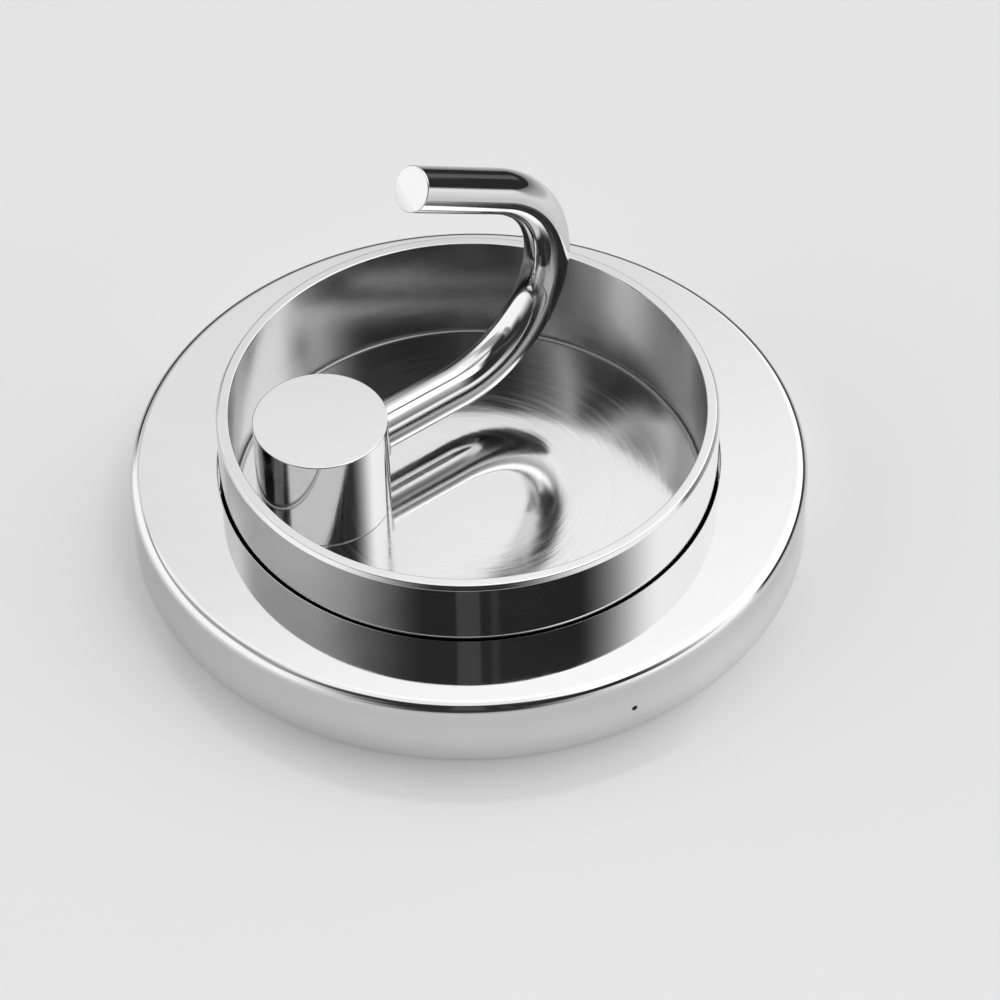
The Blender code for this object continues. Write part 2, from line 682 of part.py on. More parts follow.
def pivot_bush():
    """Flanged plastic bush pressed into the post, in which the journal turns."""
    profile = [
        (BORE_RADIUS, BUSH_OUTER_END),
        (BUSH_COLLAR_RADIUS, BUSH_OUTER_END),
        (BUSH_COLLAR_RADIUS, COLLAR_INNER),
        (BUSH_RADIUS, COLLAR_INNER),
        (BUSH_RADIUS, BUSH_INNER_END),
        (BORE_RADIUS, BUSH_INNER_END),
    ]
    bush = turned("pivot_bush", profile, parts, post_frame, closed=True, steps=SMALL_STEPS)
    bush.location = (0, 0, ROD_OVER_FLOOR)
    bush.rotation_euler = (0, math.pi / 2, 0)
    return finished(smooth_turned(bush), bush_plastic)


def pivot_seal_ring():
    """Rubber ring in the journal's groove: it keeps water out of the pivot."""
    ring_radius = (JOURNAL_RADIUS - SEAL_GROOVE_DEPTH + BUSH_SEAT_RADIUS) / 2
    start = math.pi / 2
    section = arc((ring_radius, SEAL_PLACE), SEAL_THICK / 2, start, start - math.tau, SEAL_SECTION_STEPS)
    ring = turned("pivot_seal_ring", section[:-1], parts, hook_pivot, closed=True, steps=SMALL_STEPS)
    ring.rotation_euler = (0, math.pi / 2, 0)
    return finished(smooth_turned(ring), seal_rubber)


def stop_screw():
    """Grub screw from below, with a dog point that stands in the journal's slot."""
    dog_tip = ROD_OVER_FLOOR - (JOURNAL_RADIUS - STOP_SLOT_DEPTH) - SEAT_GAP
    foot = SEAT_GAP * 2
    body_top = ROD_OVER_FLOOR - BORE_RADIUS - SEAT_GAP
    profile = [
        (0, dog_tip),
        (STOP_DOG_RADIUS, dog_tip),
        (STOP_DOG_RADIUS, body_top),
        (STOP_SCREW_RADIUS, body_top),
        (STOP_SCREW_RADIUS, foot),
        (0, foot),
    ]
    screw = smooth_turned(turned("stop_screw", profile, parts, post_frame, steps=SCREW_STEPS))
    screw.location = (STOP_PLACE, 0, 0)
    socket = cylinder(
        "stop_socket", STOP_SOCKET, foot - OVERRUN, foot + STOP_SOCKET_DEPTH, cutters, post_frame, steps=6
    )
    socket.location = (STOP_PLACE, 0, 0)
    cut(screw, socket)
    return finished(screw, screw_steel)


def friction_pad():
    """Nylon pad with a saddle that lies against the journal."""
    pad = cylinder(
        "friction_pad", PAD_RADIUS, PAD_FOOT, ROD_OVER_FLOOR, parts, post_frame, steps=SCREW_STEPS
    )
    pad.location = (PAD_PLACE, 0, 0)
    cut(pad, along_pivot("pad_saddle", BORE_RADIUS, JOURNAL_END, SHOULDER))
    above_axis = block(
        "pad_trim",
        (-BUSH_SEAT_RADIUS, -BUSH_SEAT_RADIUS, -JOURNAL_RADIUS / 2),
        (BUSH_SEAT_RADIUS, BUSH_SEAT_RADIUS, JOURNAL_RADIUS),
        cutters,
        hook_pivot,
    )
    cut(pad, above_axis)
    return finished(pad, pad_plastic)


def pad_spring():
    """Compression spring under the pad, wound as one helix."""
    coil_radius = PAD_RADIUS - SPRING_WIRE / 2
    rise = SPRING_TOP - SPRING_FOOT - SPRING_WIRE
    count = SPRING_TURNS * SPRING_TURN_POINTS
    points = []
    for i in range(count + 1):
        share = i / count
        place = around(math.tau * SPRING_TURNS * share, coil_radius, rise * share)
        points.append(place + Vector((PAD_PLACE, 0, SPRING_FOOT + SPRING_WIRE / 2)))
    return finished(rod_curve("pad_spring", points, SPRING_WIRE / 2, 1, parts, post_frame), spring_steel)


def spring_plug():
    """Threaded plug that closes the spring's hole, with a slot for a screwdriver."""
    plug = cylinder(
        "spring_plug", PAD_RADIUS, SPIGOT_FOOT, SPIGOT_FOOT + PLUG_HEIGHT, parts, post_frame, steps=SCREW_STEPS
    )
    plug.location = (PAD_PLACE, 0, 0)
    half = PLUG_SLOT_WIDTH / 2
    reach = PAD_RADIUS + OVERRUN
    slot = block(
        "plug_slot",
        (PAD_PLACE - reach, -half, SPIGOT_FOOT - OVERRUN),
        (PAD_PLACE + reach, half, SPIGOT_FOOT + PLUG_SLOT_DEPTH),
        cutters,
        post_frame,
    )
    cut(plug, slot)
    return finished(plug, screw_steel)


def plate_tab(name, azimuth, face_radius, top):
    """A tab of the plate, bent up at the edge."""
    half = PLATE_TAB_WIDTH / 2
    tab = block(name, (face_radius - PLATE_THICK, -half, PLATE_THICK / 2), (face_radius, half, top), cutters)
    tab.rotation_euler = (0, 0, azimuth)
    return tab


def wall_bracket():
    """Stamped plate with two slots for wall screws, a window for the post's fixings and three tabs."""
    rim = arc((0, 0), PLATE_RADIUS, 0, math.tau, ROUND_STEPS)
    plate = flat_outline("wall_bracket", rim[:-1], 0, PLATE_THICK, parts)
    half_notch = PLATE_TAB_WIDTH / 2 + LOCK_NOTCH_MARGIN
    notch = block(
        "lock_notch",
        (LOCK_TAB_FACE + LOCK_TAB_STEP, -half_notch, -OVERRUN),
        (PLATE_RADIUS + OVERRUN, half_notch, PLATE_THICK + OVERRUN),
        cutters,
    )
    notch.rotation_euler = (0, 0, LOCK_AZIMUTH)
    cut(plate, notch)
    half = PLATE_TAB_WIDTH / 2
    bearing_face = math.sqrt(PLATE_RADIUS ** 2 - half ** 2)
    for i, azimuth in enumerate(TAB_AZIMUTHS):
        tab_top = FACE_UNDER - BEARING_TAB_AIR
        fuse(plate, plate_tab(f"bearing_tab_{i}", azimuth, bearing_face, tab_top))
    fuse(plate, plate_tab("lock_tab", LOCK_AZIMUTH, LOCK_TAB_FACE, FACE_UNDER - LOCK_TAB_AIR))
    window_radius = POST_SCREW_SPREAD + POST_HEAD_RADIUS + PLATE_WINDOW_MARGIN
    window = cylinder("post_window", window_radius, -OVERRUN, PLATE_THICK + OVERRUN, cutters)
    window.location = (-POST_OFFSET, 0, 0)
    cut(plate, window)
    outline = slot_outline(WALL_SLOT_LENGTH, WALL_SLOT_WIDTH, 6)
    for i, azimuth in enumerate(SLOT_AZIMUTHS):
        slot = flat_outline(f"wall_slot_{i}", outline, -OVERRUN, PLATE_THICK + OVERRUN, cutters)
        slot.location += around(azimuth, WALL_SLOT_CIRCLE)
        slot.rotation_euler = (0, 0, azimuth + math.pi / 2)
        cut(plate, slot)
    return finished(plate, zinc_plate)


def flange_grub_screw():
    """Socket grub screw through the rosette's side wall, pressed against the plate's lock tab."""
    outer = FLANGE_RADIUS - GRUB_RECESS
    inner = LOCK_TAB_FACE + SEAT_GAP
    point = GRUB_RADIUS / 4
    profile = [
        (0, outer),
        (GRUB_RADIUS, outer),
        (GRUB_RADIUS, inner + point),
        (GRUB_RADIUS - point, inner),
        (0, inner),
    ]
    screw = smooth_turned(turned("flange_grub_screw", profile, parts, steps=SCREW_STEPS))
    socket = cylinder(
        "grub_socket", GRUB_SOCKET, outer - GRUB_SOCKET_DEPTH, outer + OVERRUN, cutters, steps=6
    )
    for obj in (screw, socket):
        obj.location = (0, 0, GRUB_LEVEL)
        obj.rotation_euler = (0, math.pi / 2, LOCK_AZIMUTH)
    cut(screw, socket)
    return finished(screw, screw_steel)


# Assembly, from the wall outwards
wall_bracket()
flange_cover()
hook_cup()
cup_clamp_screws()
flange_grub_screw()
pivot_post()
post_screws()
pivot_bush()
hook_arm()
pivot_seal_ring()
stop_screw()
friction_pad()
pad_spring()
spring_plug()
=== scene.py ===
# Looks of the folding towel hook: polished chrome on a pale glossy table under soft light
# Lengths are in metres, in the CAD model's frame

import math

import bmesh
import bpy
from mathutils import Matrix, Vector


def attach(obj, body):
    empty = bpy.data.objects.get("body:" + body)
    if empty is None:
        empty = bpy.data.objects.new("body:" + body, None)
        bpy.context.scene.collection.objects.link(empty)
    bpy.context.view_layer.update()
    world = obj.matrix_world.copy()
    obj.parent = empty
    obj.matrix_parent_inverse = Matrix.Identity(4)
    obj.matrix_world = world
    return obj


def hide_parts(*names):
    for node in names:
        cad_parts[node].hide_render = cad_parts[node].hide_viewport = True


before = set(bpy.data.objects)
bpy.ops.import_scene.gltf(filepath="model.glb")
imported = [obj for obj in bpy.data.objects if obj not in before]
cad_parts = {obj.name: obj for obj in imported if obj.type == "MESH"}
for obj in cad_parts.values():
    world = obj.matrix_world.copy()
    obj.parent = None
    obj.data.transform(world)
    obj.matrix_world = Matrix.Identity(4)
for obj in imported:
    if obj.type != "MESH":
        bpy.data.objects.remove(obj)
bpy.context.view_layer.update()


# Wall plate
# A disc stamped from 1.2 mm steel, zinc plated, with three bent-up tabs and two slots.
# Two screws hold it to the wall, and the rosette is pushed over its tabs.

ZINC_DARK = (0.50, 0.51, 0.53)
ZINC_LIGHT = (0.66, 0.67, 0.69)
METAL_CLOUDS = 180.0
METAL_GRAIN_DEPTH = 0.00004


def new_material(name):
    """A material with nodes, and its shader."""
    made = bpy.data.materials.new(name)
    made.use_nodes = True
    return made, made.node_tree.nodes["Principled BSDF"]


def add_node(tree, kind, settings=None, **sockets):
    """Adds a node. Its sockets are given by name or, as _0, by number; an output is linked to them."""
    node = tree.nodes.new(kind)
    for key, value in (settings or {}).items():
        setattr(node, key, value)
    for key, value in sockets.items():
        index = key[1:]
        socket = node.inputs[int(index)] if index.isdigit() else node.inputs[key.replace("_", " ")]
        if isinstance(value, bpy.types.NodeSocket):
            tree.links.new(value, socket)
        else:
            socket.default_value = value
    return node


def surface_coords(tree):
    return add_node(tree, "ShaderNodeTexCoord").outputs["Object"]


def noise(tree, coords, scale, detail=3.0, roughness=0.55):
    made = add_node(
        tree, "ShaderNodeTexNoise",
        Vector=coords, Scale=scale, Detail=detail, Roughness=roughness,
    )
    return made.outputs["Fac"]


def remap(tree, value, low, high, to_low, to_high, smooth=False):
    """Turns the range from low to high into the range from to_low to to_high, and stays inside it."""
    kind = "SMOOTHSTEP" if smooth else "LINEAR"
    made = add_node(
        tree, "ShaderNodeMapRange", {"interpolation_type": kind},
        Value=value, From_Min=low, From_Max=high, To_Min=to_low, To_Max=to_high,
    )
    return made.outputs["Result"]


def blend_colours(tree, factor, first, second):
    made = add_node(tree, "ShaderNodeMix", {"data_type": "RGBA"}, _0=factor, _6=first, _7=second)
    return made.outputs[2]


def bump(tree, height, distance, normal=None):
    made = add_node(tree, "ShaderNodeBump", Distance=distance, Height=height)
    if normal is not None:
        tree.links.new(normal, made.inputs["Normal"])
    return made.outputs["Normal"]


def satin_metal(name, dark, light, gloss, grain):
    """Plated or plain steel: cloudy tone, uneven gloss, and a fine grain in the surface."""
    made, shader = new_material(name)
    tree = made.node_tree
    coords = surface_coords(tree)
    clouds = noise(tree, coords, METAL_CLOUDS, detail=4.0)
    fine = noise(tree, coords, grain, detail=2.0)
    tone = blend_colours(tree, clouds, (*dark, 1), (*light, 1))
    tree.links.new(tone, shader.inputs["Base Color"])
    tree.links.new(remap(tree, clouds, 0.35, 0.65, *gloss), shader.inputs["Roughness"])
    tree.links.new(bump(tree, fine, METAL_GRAIN_DEPTH), shader.inputs["Normal"])
    shader.inputs["Metallic"].default_value = 1.0
    return made


def dress(node, material):
    """Gives a CAD node that keeps its mesh its material."""
    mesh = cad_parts[node].data
    mesh.materials.clear()
    mesh.materials.append(material)


zinc = satin_metal("zinc_plated_steel", ZINC_DARK, ZINC_LIGHT, gloss=(0.28, 0.45), grain=2500.0)
dress("wall_bracket", zinc)


# Rosette
# A thick round cover turned from brass and chrome plated, open behind, with a collar round the cup.
# Three bosses behind take the screws that clamp the cup.

ROSETTE_RADIUS = 0.0440
ROSETTE_HEIGHT = 0.0095
ROSETTE_HOLE = 0.03262
ROSETTE_CHANNEL = 0.0420
ROSETTE_FACE_UNDER = 0.0075
EDGE_ROUND = 0.00145
HOLE_ROUND = 0.0002
CHANNEL_ROUND = 0.0004
FOOT_ROUND = 0.0001
COLLAR_RADIUS = 0.0345
COLLAR_FOOT = 0.0046
CLAMP_CIRCLE = 0.0368
CLAMP_HOLE = 0.0018
BOSS_RADIUS = 0.0028
BOSS_TOP = 0.0085
BOSS_HOLE_TOP = 0.0083
GRUB_LEVEL = 0.0042
GRUB_HOLE = 0.0023
CUT_OVER = 0.001
HOOK_DEGREES = 35
HOOK_AZIMUTH = math.radians(HOOK_DEGREES)
CLAMP_AZIMUTHS = [math.radians(HOOK_DEGREES + 60 + 120 * i) for i in range(3)]
SPECK_AZIMUTH = math.radians(-64.8)
SPECK_LEVEL = 0.0036
SPECK_CORE = 0.0003
SPECK_EDGE = 0.00048
SPECK_TONE = 0.02
SPECK_DULLNESS = 0.5
ROSETTE_TONE = 0.755
CHROME_EDGE_TINT = 0.85
SMEAR_SPACE = (1.0, 2.2, 1.6)
SMEAR_SCALE = 70.0
SMEAR_SHADE = 0.95
RIPPLE_SCALE = 110.0
HAIRLINE_SCALE = 1400.0
HAIRLINE_DULLNESS = 0.02
# Painted light on the rosette's side: its colour grows brighter from the shoulder height down to the
# foot height
PAINTED_LIGHT_FOOT = 0.0022
PAINTED_LIGHT_SHOULDER = 0.0080
PAINTED_LIGHT_GAIN = 1.28
SHARP_ANGLE = math.radians(35)
TURN_STEPS = 288
POINT_MERGE = 1e-7


def rounded(points, steps=8):
    """An outline from (radius, height, corner round) points, with an arc at each rounded corner."""
    made = []
    for i, (x, y, size) in enumerate(points):
        here = Vector((x, y))
        if not size:
            made.append(here)
            continue
        back = (Vector(points[i - 1][:2]) - here).normalized()
        ahead = (Vector(points[(i + 1) % len(points)][:2]) - here).normalized()
        half = back.angle(ahead) / 2
        middle = here + (back + ahead).normalized() * (size / math.sin(half))
        start = here + back * (size / math.tan(half)) - middle
        end = here + ahead * (size / math.tan(half)) - middle
        turn = start.angle_signed(end)
        for k in range(steps + 1):
            spin = Matrix.Rotation(-turn * k / steps, 2)
            made.append(middle + spin @ start)
    return made


def object_from(name, bm):
    mesh = bpy.data.meshes.new(name)
    bm.to_mesh(mesh)
    bm.free()
    made = bpy.data.objects.new(name, mesh)
    bpy.context.scene.collection.objects.link(made)
    return made


def join_rings(bm, pairs):
    """Faces between rings of points; a ring that is one repeated point closes as a fan."""
    for first, second in pairs:
        count = len(first)
        for i in range(count):
            j = (i + 1) % count
            corners = []
            for vert in (first[i], second[i], second[j], first[j]):
                if vert not in corners:
                    corners.append(vert)
            bm.faces.new(corners)
    bmesh.ops.recalc_face_normals(bm, faces=bm.faces)


def turned(name, outline, steps=TURN_STEPS):
    """A solid of revolution about Z; points on the axis close it, and without them it is a ring."""
    bm = bmesh.new()
    rings = []
    for radius, height in outline:
        if radius < POINT_MERGE:
            rings.append([bm.verts.new((0, 0, height))] * steps)
            continue
        turn = [math.tau * i / steps for i in range(steps)]
        rings.append([bm.verts.new((radius * math.cos(a), radius * math.sin(a), height)) for a in turn])
    on_axis = outline[0][0] < POINT_MERGE
    join_rings(bm, zip(rings, rings[1:]) if on_axis else zip(rings, rings[1:] + rings[:1]))
    return object_from(name, bm)


def around(azimuth, radius=1.0, height=0.0):
    """A place round the part's axis."""
    return Vector((radius * math.cos(azimuth), radius * math.sin(azimuth), height))


def lying_along(azimuth):
    """Turns a piece made about Z so that it lies flat and points along the azimuth."""
    return Matrix.Rotation(azimuth, 4, "Z") @ Matrix.Rotation(math.pi / 2, 4, "Y")


def cylinder(radius, low, high, spot=(0, 0, 0), steps=48, along=None):
    """A plain cylinder to cut or join with; along is the azimuth of a cylinder that lies flat."""
    bm = bmesh.new()
    bmesh.ops.create_cone(
        bm, cap_ends=True, segments=steps, radius1=radius, radius2=radius, depth=high - low,
        matrix=Matrix.Translation((0, 0, (low + high) / 2)),
    )
    if along is not None:
        bm.transform(lying_along(along))
    bm.transform(Matrix.Translation(spot))
    return object_from("tool", bm)


def settle(piece):
    """Applies the piece's modifiers to its mesh."""
    bpy.context.view_layer.update()
    shown = piece.evaluated_get(bpy.context.evaluated_depsgraph_get())
    mesh = bpy.data.meshes.new_from_object(shown, depsgraph=bpy.context.evaluated_depsgraph_get())
    piece.modifiers.clear()
    piece.data = mesh


def carve(piece, tool, operation="DIFFERENCE"):
    """Cuts the tool out of the piece, or joins it on, and merges points that the cut left double."""
    step = piece.modifiers.new("carve", "BOOLEAN")
    step.operation = operation
    step.solver = "EXACT"
    step.object = tool
    settle(piece)
    bpy.data.objects.remove(tool, do_unlink=True)
    bm = bmesh.new()
    bm.from_mesh(piece.data)
    bmesh.ops.remove_doubles(bm, verts=bm.verts, dist=POINT_MERGE)
    bm.to_mesh(piece.data)
    bm.free()


def polish_shading(piece):
    """Flat faces stay truly flat beside rounded edges, as mirror chrome shows each ripple."""
    piece.data.shade_smooth()
    piece.data.set_sharp_from_angle(angle=SHARP_ANGLE)
    step = piece.modifiers.new("normals", "WEIGHTED_NORMAL")
    step.keep_sharp = True
    step.weight = 100
    settle(piece)


def place(piece, body, slot, material, *nodes):
    """Dresses a piece and lets it stand for CAD nodes on a body."""
    piece.data.materials.clear()
    piece.data.materials.append(material)
    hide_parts(*nodes)
    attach(piece, body)


def grey(level):
    return (level, level, level, 1)


def arithmetic(tree, operation, first, second=0.0):
    return add_node(tree, "ShaderNodeMath", {"operation": operation}, _0=first, _1=second).outputs[0]


def times(tree, first, second):
    return arithmetic(tree, "MULTIPLY", first, second)


def plus(tree, first, second):
    return arithmetic(tree, "ADD", first, second)


def chrome(name, tone, gloss, ripple, speck=None):
    """Chrome plate: wiped smears change its gloss a little, and the polish leaves a faint ripple."""
    made, shader = new_material(name)
    shader.inputs["Metallic"].default_value = 1.0
    shader.inputs["Specular Tint"].default_value = grey(CHROME_EDGE_TINT)
    tree = made.node_tree
    coords = surface_coords(tree)
    stretch = add_node(tree, "ShaderNodeMapping", Vector=coords, Scale=SMEAR_SPACE)
    smears = noise(tree, stretch.outputs["Vector"], SMEAR_SCALE, detail=5.0, roughness=0.65)
    ripples = noise(tree, coords, RIPPLE_SCALE, detail=1.0)
    hairlines = noise(tree, stretch.outputs["Vector"], HAIRLINE_SCALE, detail=2.0)
    colour = blend_colours(tree, smears, grey(SMEAR_SHADE * tone), grey(tone))
    dullness = remap(tree, smears, 0.42, 0.72, *gloss, smooth=True)
    dullness = plus(tree, dullness, remap(tree, hairlines, 0.45, 0.75, 0.0, HAIRLINE_DULLNESS))
    if speck:
        offset = add_node(tree, "ShaderNodeVectorMath", {"operation": "DISTANCE"}, _0=coords, _1=speck)
        mark = remap(tree, offset.outputs["Value"], SPECK_CORE, SPECK_EDGE, 1.0, 0.0, smooth=True)
        colour = blend_colours(tree, mark, colour, grey(SPECK_TONE))
        dullness = plus(tree, dullness, times(tree, mark, SPECK_DULLNESS))
    tree.links.new(colour, shader.inputs["Base Color"])
    tree.links.new(dullness, shader.inputs["Roughness"])
    tree.links.new(bump(tree, ripples, ripple), shader.inputs["Normal"])
    return made


def paint_foot_light(material, foot, shoulder, gain):
    """Painted light: the side's colour is made brighter over its lower half, from the shoulder height
    down to the foot height.
    """
    tree = material.node_tree
    tone = tree.nodes["Principled BSDF"].inputs["Base Color"]
    height = add_node(tree, "ShaderNodeSeparateXYZ", Vector=surface_coords(tree)).outputs["Z"]
    lift = remap(tree, height, foot, shoulder, gain, 1.0, smooth=True)
    painted_light_node = add_node(
        tree, "ShaderNodeVectorMath", {"operation": "SCALE"}, _0=tone.links[0].from_socket, Scale=lift
    )
    tree.links.new(painted_light_node.outputs["Vector"], tone)


rosette_outline = rounded([
    (ROSETTE_HOLE, ROSETTE_HEIGHT, HOLE_ROUND),
    (ROSETTE_RADIUS, ROSETTE_HEIGHT, EDGE_ROUND),
    (ROSETTE_RADIUS, 0, FOOT_ROUND),
    (ROSETTE_CHANNEL, 0, FOOT_ROUND),
    (ROSETTE_CHANNEL, ROSETTE_FACE_UNDER, CHANNEL_ROUND),
    (COLLAR_RADIUS, ROSETTE_FACE_UNDER, CHANNEL_ROUND),
    (COLLAR_RADIUS, COLLAR_FOOT, FOOT_ROUND),
    (ROSETTE_HOLE, COLLAR_FOOT, FOOT_ROUND),
])
rosette = turned("rosette", rosette_outline)
for azimuth in CLAMP_AZIMUTHS:
    spot = around(azimuth, CLAMP_CIRCLE)
    carve(rosette, cylinder(BOSS_RADIUS, COLLAR_FOOT, BOSS_TOP, spot), "UNION")
    carve(rosette, cylinder(CLAMP_HOLE, COLLAR_FOOT - CUT_OVER, BOSS_HOLE_TOP, spot))
grub_spot = (0, 0, GRUB_LEVEL)
carve(rosette, cylinder(
    GRUB_HOLE, ROSETTE_CHANNEL - CUT_OVER, ROSETTE_RADIUS + CUT_OVER, grub_spot, along=HOOK_AZIMUTH
))
polish_shading(rosette)
rosette_chrome = chrome(
    "rosette_chrome", ROSETTE_TONE, gloss=(0.03, 0.07), ripple=0.000012,
    speck=around(SPECK_AZIMUTH, ROSETTE_RADIUS, SPECK_LEVEL),
)
# Painted light: the rosette's lower side is made brighter in colour
paint_foot_light(rosette_chrome, PAINTED_LIGHT_FOOT, PAINTED_LIGHT_SHOULDER, PAINTED_LIGHT_GAIN)
place(rosette, "wall_mount", "chrome_rosette", rosette_chrome, "flange_cover")


# Cup
# A thin cup turned from brass and chrome plated, with a rounded rim. A flat lip and three ears
# clamp it to the rosette from behind. Its floor keeps the rings of the turning tool.

CUP_RADIUS = 0.03236
CUP_INNER = 0.03075
CUP_RIM = 0.0188
CUP_CORNER_ROUND = 0.0004
CUP_BACK_ROUND = 0.0003
RIM_INNER_ROUND = 0.00015
RIM_TOP_ROUND = 0.00025
RIM_BEVEL = 0.00035
RIM_BEVEL_DEPTH = 0.0006
RIM_BEVEL_ROUND = 0.00015
FLOOR_TOP = 0.0030
FLOOR_UNDER = 0.0018
REGISTER_RADIUS = 0.03245
REGISTER_TOP = 0.0068
REGISTER_SLOPE = 0.0002
LIP_RADIUS = 0.03445
LIP_TOP = 0.0043
LIP_UNDER = 0.0031
EAR_RADIUS = 0.0033
EAR_STEP = 0.0001
EAR_HOLE_OVER = 0.00015
POST_SPOT = Vector((-0.0190, 0, 0))
SPIGOT_HOLE = 0.0039
POST_SCREW_HOLE = 0.00155
SCREW_SPREAD = 0.0062
ACROSS = Vector((-math.sin(HOOK_AZIMUTH), math.cos(HOOK_AZIMUTH), 0))
POST_SCREW_SPOTS = [POST_SPOT + side * SCREW_SPREAD * ACROSS for side in (-1, 1)]
CUP_TONE = 0.725
# Painted shade: the inner wall and the corner at the floor are darkened in colour by these tones and
# shares
WALL_PAINTED_SHADE = 0.50
WALL_PAINTED_SHADE_SHARE = 0.5
WALL_DULLNESS = 0.13
CORNER_PAINTED_SHADE = 0.28
CORNER_PAINTED_SHADE_SHARE = 0.75
CORNER_DULLNESS = 0.25
FLOOR_DULLNESS = 0.05
GROOVE_DULLNESS = (0.02, 0.13)
GROOVE_DEPTH = 0.000007
GROOVE_FINE = 1600.0
GROOVE_WIDE = 420.0
GROOVE_WANDER = 0.0012
GROOVES_AT_CENTRE = 0.15
GROOVES_AT_WALL = 0.3
GROOVES_FULL_FROM = (0.004, 0.020)
GROOVES_FULL_UP_TO = (0.025, 0.029)

# Heights and radii over which one finish, and the painted shade on the wall and in the corner, gives way
# to the next
FLOOR_FINISH_TOP = (FLOOR_TOP + 0.0001, FLOOR_TOP + 0.0003)
FLOOR_FINISH_EDGE = (CUP_INNER - 0.0004, CUP_INNER)
CORNER_FINISH_TOP = (FLOOR_TOP + 0.0003, FLOOR_TOP + 0.0006)
CORNER_FINISH_START = (CUP_INNER - 0.0008, CUP_INNER - 0.0004)
WALL_FINISH_TOP = (CUP_RIM - 0.0003, CUP_RIM - 0.0002)
WALL_FINISH_BACK = (CUP_INNER + 0.0001, CUP_INNER + 0.0002)

cup_outline = rounded([
    (0, FLOOR_TOP, 0),
    (CUP_INNER, FLOOR_TOP, CUP_CORNER_ROUND),
    (CUP_INNER, CUP_RIM, RIM_INNER_ROUND),
    (CUP_RADIUS - RIM_BEVEL, CUP_RIM, RIM_TOP_ROUND),
    (CUP_RADIUS, CUP_RIM - RIM_BEVEL_DEPTH, RIM_BEVEL_ROUND),
    (CUP_RADIUS, REGISTER_TOP + REGISTER_SLOPE, 0),
    (REGISTER_RADIUS, REGISTER_TOP, 0),
    (REGISTER_RADIUS, LIP_TOP, 0),
    (LIP_RADIUS, LIP_TOP, 0),
    (LIP_RADIUS, LIP_UNDER, 0),
    (CUP_RADIUS, LIP_UNDER, 0),
    (CUP_RADIUS, FLOOR_UNDER, CUP_BACK_ROUND),
    (0, FLOOR_UNDER, 0),
])
cup = turned("cup", cup_outline)
for azimuth in CLAMP_AZIMUTHS:
    spot = around(azimuth, CLAMP_CIRCLE)
    carve(cup, cylinder(EAR_RADIUS, LIP_UNDER + EAR_STEP, LIP_TOP - EAR_STEP, spot), "UNION")
    carve(cup, cylinder(CLAMP_HOLE, LIP_UNDER - CUT_OVER, LIP_TOP + EAR_HOLE_OVER, spot))
carve(cup, cylinder(SPIGOT_HOLE, FLOOR_UNDER - CUT_OVER, FLOOR_TOP + CUT_OVER, POST_SPOT))
for spot in POST_SCREW_SPOTS:
    carve(cup, cylinder(POST_SCREW_HOLE, FLOOR_UNDER - CUT_OVER, FLOOR_TOP + CUT_OVER, spot))
polish_shading(cup)


def rising(tree, value, low, high):
    return remap(tree, value, low, high, 0.0, 1.0)


def falling(tree, value, low, high):
    return remap(tree, value, low, high, 1.0, 0.0)


def blend_values(tree, factor, first, second):
    made = add_node(tree, "ShaderNodeMix", {"data_type": "FLOAT"}, _0=factor, _2=first, _3=second)
    return made.outputs[0]


